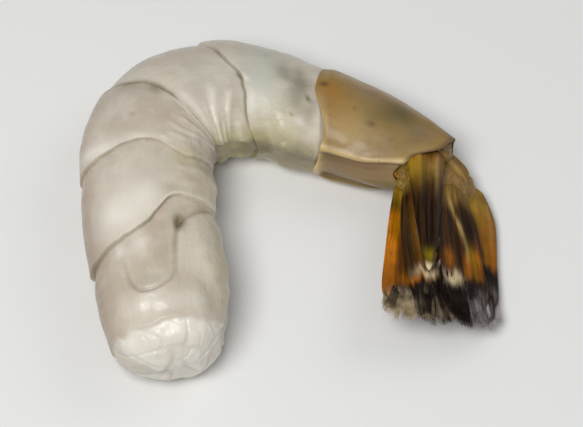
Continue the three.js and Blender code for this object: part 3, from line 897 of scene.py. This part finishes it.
# The shape of a piece's outer and inner edge: how wide it is at the root as a share of its full width, where
# along its length it is widest, and how blunt it ends.
EDGES = {
    "telson": ((1, 0.05, 1.1), (1, 0.05, 1.1)),
    "uropod_base": ((0.7, 0.5, 3), (0.7, 0.5, 3)),
    "endopod": ((0.4, 0.5, 7), (0.4, 0.5, 6)),
    "exopod_left": ((0.85, 0.5, 8), (0.3, 0.6, 5)),
    "exopod_right": ((0.48, 0.3, 8), (0.3, 0.6, 5)),
}


def kind_of(name):
    return name.removesuffix("_left").removesuffix("_right")


def turned(points, axis, angle):
    """The points, turned about an axis by so many degrees. The axis is 0, 1 or 2 for x, y or z."""
    a, b = (axis + 1) % 3, (axis + 2) % 3
    cosine, sine = math.cos(angle * DEG), math.sin(angle * DEG)
    result = points.copy()
    result[..., a] = cosine * points[..., a] - sine * points[..., b]
    result[..., b] = sine * points[..., a] + cosine * points[..., b]
    return result


def out_of_fan(points):
    """From the fan's own frame to the part's."""
    return turned(turned(turned(points, 0, -FAN_TWIST), 1, FAN_DROOP), 2, FAN_HEADING) + np.array(FAN_HINGE)


def placed(points, name):
    """From a piece's own frame, as it is on the prawn's right, to the part's."""
    spec = FAN_PIECES[name]
    hand = -1 if name.endswith("left") else 1
    mirror = np.array([1, hand, 1])
    tilted = turned(turned(points * mirror, 0, -hand * spec["roll"]), 1, -spec["pitch"])
    return out_of_fan(turned(tilted, 2, hand * spec["splay"]) + np.array(spec["root"]) * mirror)


def edge_at(t, root, peak, point):
    """How wide one side of a blade is at `t`, as a share of its full width."""
    swell = root + (1 - root) * np.sin(math.pi / 2 * np.minimum(1, t / peak))
    return swell * np.clip(1 - np.maximum(0, (t - peak) / (1 - peak)) ** point, 0, 1) ** 0.6


def half_width(name, t, across):
    outer, inner = EDGES.get(name) or EDGES[kind_of(name)]
    return FAN_PIECES[name]["width"] / 2 * np.where(across > 0, edge_at(t, *outer), edge_at(t, *inner))


def lane_at(name, t, across):
    """How far in millimetres a place is from the blade's middle line, with its narrow root taken at full
    width. Its streaks keep to such lanes, so they draw together at the root and run straight at the tip."""
    rounding = half_width(name, t, across) / half_width(name, np.minimum(t, 0.45), across)
    return across * FAN_PIECES[name]["width"] / 2 * rounding


def ribs_of(kind, t, across):
    """Height of a blade's ribs in millimetres, on its upper face."""
    fade = ease(t, 0.97, 0.7)
    if kind == "telson":
        return fade * (0.3 * bump(np.abs(across) - 0.5, 0.2) - 0.2 * bump(across, 0.25))
    if kind == "endopod":
        pair = bump(across - 0.14, 0.1) + bump(across + 0.16, 0.1)
        return fade * (0.24 * pair - 0.12 * bump(across + 0.01, 0.07))
    if kind == "exopod":
        middle = 0.3 * bump(across - 0.3 + 0.2 * t, 0.12) + 0.14 * bump(across + 0.2, 0.1)
        return fade * middle + 0.2 * bump(across - 0.9, 0.12) * ease(t, 0.9, 0.78)
    return 0.25 * bump(across - 0.3, 0.2) + 0.15 * bump(across + 0.35, 0.16)


def blade_marks(name, t, across):
    """Where a blade's colours lie. `t` runs from root to tip and `across` from inner to outer edge."""
    lanes = np.stack([across * 3.2, t * 2.0, 0 * t], -1)
    wave = t + 0.05 * rumple(lanes, 1.0, 50 + len(name)) + 0.03 * rumple(lanes, 0.35, 51)
    marks = {mark: 0 * t for mark in ("root", "rib", "olive", "rim", "rust", "tip", "haze", "cream", "lime")}
    if name.startswith("uropod"):
        marks.update(
            root=0.6 + 0.3 * ease(t, 0.0, 0.5),
            rust=0.6 * ease(t, 0.3, 0.05) + 0.5 * ease(across, 0.4, 0.9),
            rib=0.7 * bump(across - 0.2, 0.16) + 0.3 * bump(across + 0.4, 0.12),
            olive=patches(t, across, (0.6, 0.7, -0.5, 0.25, 0.4)))
        return marks
    if name == "telson":
        # At the root the dark and the reddish-brown paint are painted shade under the shell's rim.
        marks.update(
            root=0.85 * ease(wave, 0.34, 0.12),
            tip=0.5 * between(wave, 0.3, 0.5, 0.8, 0.88) + 0.55 * ease(wave, 0.11, 0.04),
            rib=0.7 * bump(across - 0.5, 0.16) * ease(t, 0.5, 0.16)
            + 0.4 * bump(across + 0.5, 0.14) * ease(t, 0.5, 0.1),
            lime=0.95 * bump(t - 0.89, 0.055) * bump(across, 0.9),
            cream=0.9 * ease(t, 0.92, 0.97),
            olive=patches(t, across, (0.75, 0.16, -0.7, 0.14, 0.5)),
            rust=0.7 * ease(wave, 0.14, 0.06))
        return marks
    marks.update(
        root=0.85 * ease(wave, 0.24, 0.06), tip=ease(wave, 0.72, 0.8), haze=0.2 * ease(wave, 0.84, 0.95))
    fade = ease(t, 0.9, 0.68)
    if name == "endopod_right":
        stripe = across - np.interp(t, (0.12, 0.36, 0.51, 0.68), (-0.4, 0.12, 0.3, 0.2))
        marks.update(
            rib=0.9 * bump(stripe, 0.11) * between(t, 0.04, 0.14, 0.56, 0.68),
            rim=patches(t, stripe, (0.95, 0.64, 0, 0.1, 0.15))
            + patches(t, across, (0.8, 0.56, 0.78, 0.14, 0.14))
            + patches(wave, across, (0.5, 0.6, -0.6, 0.07, 0.18)),
            olive=patches(t, across, (0.8, 0.58, 0.56, 0.12, 0.13)),
            rust=patches(wave, across, (0.6, 0.66, 0.4, 0.06, 0.3)),
            cream=patches(wave, across, (0.9, 0.745, -0.56, 0.045, 0.34)),
            lime=patches(t, stripe, (0.4, 0.5, 0.04, 0.1, 0.08)),
            haze=0.8 * ease(wave, 0.76, 0.88) * ease(across, 0.2, 0.7),
            tip=np.maximum(marks["tip"], patches(t, across, (1.0, 0.36, 0.62, 0.14, 0.26))))
    if name == "endopod_left":
        marks.update(
            rust=0.45 * (bump(across - 0.35, 0.16) + bump(across + 0.5, 0.3)) * fade,
            cream=patches(wave, across, (0.8, 0.69, 0.0, 0.035, 0.6)),
            rim=patches(wave, across, (0.7, 0.745, 0.7, 0.035, 0.36)),
            root=0.85 * ease(wave, 0.14, 0.02)
            + 0.5 * bump(across - 0.25, 0.3) * between(t, 0.1, 0.2, 0.5, 0.7))
    if name == "exopod_left":
        outer = ease(across, 0.3, 0.66)
        marks.update(
            rim=outer * ease(t, 0.2, 0.32) * (1 - 0.55 * ease(t, 0.62, 0.8))
            + patches(wave, across, (0.5, 0.78, 0.0, 0.05, 0.4)),
            olive=patches(t, across, (0.85, 0.1, 0.4, 0.12, 0.7))
            + patches(wave, across, (0.6, 0.93, 0.75, 0.05, 0.3)),
            lime=patches(t, across, (0.4, 0.36, 0.55, 0.12, 0.3)),
            rust=0.6 * bump(across - 0.1, 0.16) * fade + 0.6 * outer * ease(t, 0.62, 0.8),
            tip=0.8 * ease(wave, 0.82, 0.9) * ease(across, 0.8, 0.4),
            haze=0.95 * ease(wave, 0.82, 0.9) * (1 - 0.4 * ease(across, 0.5, 0.9)),
            cream=patches(wave, across, (0.5, 0.94, 0.86, 0.03, 0.2)))
    if name == "exopod_right":
        stripe = across - np.interp(t, (0.16, 0.3, 0.5), (-0.26, 0.04, 0.22))
        marks.update(
            root=0.9 * ease(wave, 0.56, 0.24),
            rust=0.75 * ease(across, 0.0, 0.4) * ease(wave, 0.62, 0.54) * ease(t, 0.1, 0.34),
            rim=0.6 * ease(across, 0.5, 0.8) * bump(t - 0.48, 0.13)
            + patches(t, across, (0.3, 0.5, 0.3, 0.2, 0.1)),
            olive=patches(t, across, (0.7, 0.5, 0.52, 0.1, 0.1), (0.5, 0.2, 0.3, 0.14, 0.3)),
            rib=0.6 * bump(across - 0.74, 0.07) * between(t, 0.1, 0.2, 0.4, 0.55),
            tip=np.maximum(ease(wave, 0.58, 0.66), bump(stripe, 0.19) * between(t, 0.14, 0.24, 0.52, 0.62)),
            haze=0.9 * ease(wave, 0.66, 0.8) * (1 - 0.5 * bump(across, 0.4)))
    return marks


def blade_surface(name, t, turn):
    """A blade's upper and lower face in its own frame, with its root at the origin and its length along x."""
    spec = FAN_PIECES[name]
    kind = kind_of(name)
    across = np.cos(turn)
    rounded = np.sqrt(np.clip(1 - (1 - t / 0.05) ** 2 * (t < 0.05), 0.04, 1))
    thickness = spec["thick"] * (1 - 0.62 * t) * rounded * (1 - 0.7 * ease(t, 0.9, 1.0))
    upper, lower = np.maximum(np.sin(turn), 0), np.maximum(-np.sin(turn), 0)
    z = thickness / 2 * (upper**0.8 - lower**0.8)
    z = z + ribs_of(kind, t, across) * (ease(upper, 0, 0.5) - 0.6 * ease(lower, 0, 0.5))
    if kind in ("endopod", "exopod"):
        # Their edges hang limp.
        limp = 0.35 * np.sin(5.2 * t + 1.7 * len(name)) - 0.1 * t
        z = z + limp * across**2 * ease(t, 0.15, 0.6)
    half = half_width(name, t, across) * rounded
    return np.stack([t * spec["length"] * spec["plate"], across * half, z], -1)


def build_blade(name, material):
    piece, t, turn = sheet_of(name, *(BASE_MESH if name.startswith("uropod") else BLADE_MESH))
    angle = turn * 2 * math.pi
    across = np.cos(angle)
    t = np.clip(t, 0.004, 0.992)
    points = blade_surface(name, t, angle)
    # Both ends close on their middle line.
    for end in (0, -1):
        points[end, :, 1:] = points[end, :, 1:].mean(0)
    points[-1, :, 0] = FAN_PIECES[name]["length"] * FAN_PIECES[name]["plate"]
    points = placed(points, name)
    points[..., 2] += 0.06 * rumple(points, 2.5, 31)
    wrap(piece, inside_box(points), blade_marks(name, t, across), lane_at(name, t, across))
    dress(piece, material, "fan", name)


BRISTLE_ROWS = ((0.0, 1.0), (1.0, 0.45), (2.0, 0.4), (3.0, 0.3))  # how far in from the edge, and how dense
# How fair each blade's bristles are, how much that differs between clumps, and how mauve its outer ones are.
BRISTLE_SHADES = {
    "exopod_left": (0.85, 0.35, 0.0),
    "endopod_left": (0.08, 0.26, 0.0),
    "endopod_right": (-0.1, 0.12, 0.5),
    "exopod_right": (0.0, 0.12, 0.9),
    "telson": (0.4, 0.2, 0.0),
}


def bristle_roots(name):
    """Where the bristles stand: on a blade's edge, and in rows further in on its upper face. With each comes
    the side of the blade that it stands on, its place along the blade and how far in it is."""
    spec = FAN_PIECES[name]
    length = spec["length"] * spec["plate"]
    rows, on_edge = (BRISTLE_ROWS[:1], 160) if name == "telson" else (BRISTLE_ROWS, 560)
    outer_start = {"telson": 0.6, "exopod_left": 0.84}.get(name, 0.78)
    for inset, density in rows:
        for hand, start in ((1, outer_start + 0.03 * inset), (-1, 0.5 + 0.1 * inset)):
            for t in np.linspace(start, 0.99, int(on_edge * density * (1 - start))):
                t = 1 - (1 - t) ** 1.35
                half = float(half_width(name, np.array(t), np.array(hand * 1.0)))
                inwards = inset / math.hypot(length * (1 - t) + 0.5, half + 0.5)
                x = t * length - inset * float(ease(t, 0.7, 0.9))
                y = hand * half * max(0.0, 1 - inwards)
                z = spec["thick"] * 0.24 * min(1.0, inset)
                yield np.array([x, y, z]), hand, t, inset


def bristle_faces():
    """One bristle's faces, by the numbers of its vertices."""
    starts = [(step * BRISTLE_SIDES, side) for step in range(BRISTLE_STEPS) for side in range(BRISTLE_SIDES)]
    pairs = [(ring + side, ring + (side + 1) % BRISTLE_SIDES) for ring, side in starts]
    root = tuple(range(BRISTLE_SIDES))
    tip = tuple(BRISTLE_STEPS * BRISTLE_SIDES + side for side in root)
    return [(a, b, b + BRISTLE_SIDES, a + BRISTLE_SIDES) for a, b in pairs] + [root[::-1], tip]


def build_bristles(material):
    """Wet bristles on the edges of the blades, clinging together in points."""
    rng = np.random.default_rng(5)
    up = np.array([0, 0, 1])
    u = np.linspace(0, 1, BRISTLE_STEPS + 1)[:, None]
    corners = np.arange(BRISTLE_SIDES)[:, None] / BRISTLE_SIDES * 2 * math.pi
    bristles, tints, blooms = [], [], []
    for name, (fairness, variety, mauveness) in BRISTLE_SHADES.items():
        spec = FAN_PIECES[name]
        reach, thin, thick = spec["length"] * (1 - spec["plate"]), 0.045, 0.085
        if name == "telson":
            reach, thin, thick = 0.9, 0.035, 0.05
        remaining = 0
        for root, hand, t, inset in bristle_roots(name):
            if remaining == 0:
                # The next clump: how many bristles it has, and its lean, lift, length and colour.
                clump = remaining = int(rng.integers(6, 22))
                lean = rng.normal(0, 0.08)
                lift = rng.normal(0, 0.12)
                long = rng.uniform(0.72, 1.0)
                tint = np.clip(fairness + rng.normal(0, variety), 0, 1)
                bloom = np.clip(mauveness + rng.normal(0, 0.35), 0, 1) if mauveness and hand > 0 else 0
            remaining -= 1
            outward = lerp(0.45, 0.1, float(ease(t, 0.55, 0.98))) * hand + lean
            way = np.array([math.cos(outward), math.sin(outward), 0.0])
            aside = np.array([-way[1], way[0], 0.0])
            grown = lerp(0.4, 1.0, float(ease(t, 0.5, 0.92)))
            size = reach * long * grown * rng.uniform(0.9, 1.0) + 0.7 * inset
            radius = rng.uniform(thin, thick) * (1 - 0.8 * u)
            buried = 0.6 + (0.9 * rng.random() if inset else 0)
            squeeze = rng.normal(0, 0.05) - 0.045 * (clump / 2 - remaining)
            bend = aside * squeeze * hand + up * (lift - root[2] * 0.5)
            middle = root + way * ((size + buried) * u - buried) + bend * u**2
            ring = np.cos(corners) * aside + np.sin(corners) * up
            points = middle[:, None] + radius[:, None] * ring
            bristles.append(placed(points.reshape(-1, 3), name))
            tints.append(tint)
            blooms.append(bloom)
    each = len(u) * BRISTLE_SIDES
    starts = range(0, len(bristles) * each, each)
    faces = [tuple(start + corner for corner in face) for start in starts for face in bristle_faces()]
    mesh = bpy.data.meshes.new("fan_bristles")
    mesh.from_pydata((inside_box(np.concatenate(bristles)) * MM).tolist(), [], faces)
    set_marks(mesh, {
        "along": np.tile(np.repeat(u, BRISTLE_SIDES), len(bristles)),
        "fair": np.repeat(tints, each),
        "mauve": np.repeat(blooms, each),
    })
    piece = bpy.data.objects.new("fan_bristles", mesh)
    bpy.context.scene.collection.objects.link(piece)
    close_up(piece, merged=False)
    dress(piece, material, "fan")


def build_tissue(name, material, place, size, seed):
    """A lump of the soft tissue that joins the fan's pieces to the shell and to each other."""
    piece, along, turn = sheet_of(name, *TISSUE_MESH)
    polar = along * math.pi
    angle = turn * 2 * math.pi
    ball = np.stack([-np.cos(polar), np.sin(polar) * np.cos(angle), np.sin(polar) * np.sin(angle)], -1)
    local = ball * np.array(size) + np.array(place)
    local = local + ball * (0.5 * rumple(local, 2.4, seed) + 0.22 * rumple(local, 0.9, seed + 1))[..., None]
    marks = {"olive": 0.9 * ease(-local[..., 1], 0.5, 2.5) * ease(local[..., 0], 0.0, 1.5)}
    wrap(piece, inside_box(out_of_fan(local)), marks)
    dress(piece, material, "fan")


# ---------- Floor, light and camera ----------

AIM = Vector((0.293 + SHIFT[0], -4.543 + SHIFT[1], 0)) * MM
# Where a line from the camera at its elevation meets the floor.
CAMERA_FOOT = Vector((-19.6 + SHIFT[0], 3.45 + SHIFT[1], 0)) * MM
ELEVATION = 60
DISTANCE = 421.06 * MM
LENS = 164  # this and the next in millimetres
SENSOR = 36
FLOOR_SIZE = 3.0  # in metres


def plain_floor():
    bpy.ops.object.select_all(action="DESELECT")
    bpy.ops.mesh.primitive_plane_add(size=FLOOR_SIZE)
    floor = bpy.context.active_object
    floor.name = "floor"
    material, _, surface = new_material("plain_floor")
    surface.inputs["Base Color"].default_value = colour(226, 225, 222)
    surface.inputs["Roughness"].default_value = 0.7
    floor.data.materials.append(material)


def softbox(name, azimuth, elevation, distance, size, power):
    """A round soft lamp that faces the prawn. Its azimuth runs from +Y towards +X, in degrees."""
    light = bpy.data.lights.new(name, "AREA")
    light.shape = "DISK"
    light.size = size
    light.energy = power
    lamp = bpy.data.objects.new(name, light)
    bpy.context.scene.collection.objects.link(lamp)
    level = math.cos(elevation * DEG)
    across, ahead = level * math.sin(azimuth * DEG), level * math.cos(azimuth * DEG)
    way = Vector((across, ahead, math.sin(elevation * DEG)))
    lamp.location = way * distance
    lamp.rotation_euler = way.to_track_quat("Z", "Y").to_euler()


def studio():
    world = bpy.data.worlds.new("studio")
    bpy.context.scene.world = world
    world.use_nodes = True
    background = world.node_tree.nodes["Background"]
    background.inputs["Color"].default_value = colour(235, 240, 246)
    background.inputs["Strength"].default_value = 0.3
    softbox("key", azimuth=-140, elevation=64, distance=0.55, size=0.3, power=2.3)
    softbox("fill", azimuth=60, elevation=45, distance=0.6, size=0.4, power=0.5)
    bpy.context.scene.view_settings.view_transform = "Standard"


def camera():
    data = bpy.data.cameras.new("camera")
    data.lens = LENS
    data.sensor_width = SENSOR
    data.clip_start = 10 * MM
    eye = bpy.data.objects.new("camera", data)
    bpy.context.scene.collection.objects.link(eye)
    level = Vector((0, -math.cos(ELEVATION * DEG), math.sin(ELEVATION * DEG)))
    eye.location = CAMERA_FOOT + level * DISTANCE
    away = (eye.location - AIM).normalized()
    eye.rotation_mode = "QUATERNION"
    eye.rotation_quaternion = level.rotation_difference(away) @ level.to_track_quat("Z", "Y")
    bpy.context.scene.camera = eye


# ---------- The prawn ----------

build_flesh(wet_flesh())
build_shell(wet_shell())
blade_finish = wet_blade()
for fan_piece in FAN_PIECES:
    build_blade(fan_piece, blade_finish)
build_bristles(wet_bristle())
tissue_finish = wet_tissue()
build_tissue("hinge_tissue", tissue_finish, (-0.4, -0.9, -1.6), (3.2, 4.6, 3.2), 41)
build_tissue("tip_tissue", tissue_finish, (-1.9, 2.9, 0.2), (2.4, 2.4, 1.8), 50)
build_tissue("joint_tissue_right", tissue_finish, (3.6, 6.6, -1.7), (3.0, 2.8, 0.9), 44)
build_tissue("joint_tissue_middle", tissue_finish, (3.9, 4.5, -0.95), (3.4, 3.6, 0.9), 53)
build_tissue("joint_tissue_left", tissue_finish, (3.4, -2.0, -1.8), (2.2, 2.4, 1.1), 47)
plain_floor()
studio()
camera()
